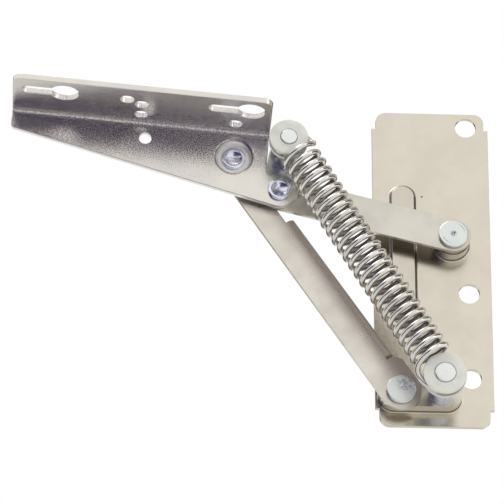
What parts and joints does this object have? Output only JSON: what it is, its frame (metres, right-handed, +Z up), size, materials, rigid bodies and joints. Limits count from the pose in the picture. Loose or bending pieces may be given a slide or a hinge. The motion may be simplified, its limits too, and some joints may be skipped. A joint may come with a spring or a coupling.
{
  "type": "lid stay",
  "caption": "Sprung flap stay: a base plate, two arms and an angle bracket form a four-bar linkage, held open by a tension spring between posts.",
  "frame": {"origin": "on the base plate's back face, midway between its top and bottom screw holes", "axes": "+Z up along the base plate, +Y through the plate into the side panel, +X away from the lid bracket"},
  "size_m": [0.1657, 0.0351, 0.1192],
  "materials": {
    "plate": "satin plated steel",
    "arms": "satin plated steel",
    "bracket": "bright plated steel",
    "rivet": "bluish zinc plate",
    "spring_wire": "bright plated spring steel",
    "roller": "natural nylon"
  },
  "bodies": {
    "base": {"base_plate": "plate", "short_arm_rivet": "rivet", "short_arm_spacer": "rivet", "long_arm_rivet": "rivet", "lower_spring_post": "rivet"},
    "short_arm": {"short_arm": "arms", "bracket_rivet": "rivet", "upper_spring_post": "rivet", "upper_spring_roller": "roller"},
    "long_arm": {"long_arm": "arms", "floating_rivet_tail": "rivet"},
    "lid_bracket": {"lid_bracket": "bracket", "floating_rivet_head": "rivet"},
    "spring": {"tension_spring": "spring_wire", "lower_spring_roller": "roller"}
  },
  "joints": [
    {"name": "short_arm_pivot", "type": "hinge", "parent": "base", "child": "short_arm", "pos_m": [-0.0059, 0, 0.0024], "axis": [0, 1, 0], "range_deg": [0, 69.4], "deforming": ["tension_spring"]},
    {"name": "long_arm_pivot", "type": "hinge", "parent": "base", "child": "long_arm", "pos_m": [-0.0245, 0, -0.0555], "axis": [0, 1, 0], "range_deg": [0, 34.09]},
    {"name": "bracket_pivot", "type": "hinge", "parent": "short_arm", "child": "lid_bracket", "pos_m": [-0.06553, 0, 0.01705], "axis": [0, 1, 0], "range_deg": [-164.38, 0]},
    {"name": "spring_pivot", "type": "hinge", "parent": "base", "child": "spring", "pos_m": [-0.0111, 0, -0.0563], "axis": [0, 1, 0], "range_deg": [0, 36.32]}
  ],
  "couplings": [
    {"joint": "long_arm_pivot", "follows": "short_arm_pivot", "ratio": 0.4905},
    {"joint": "bracket_pivot", "follows": "short_arm_pivot", "ratio": -2.3679},
    {"joint": "spring_pivot", "follows": "short_arm_pivot", "ratio": 0.5226}
  ]
}
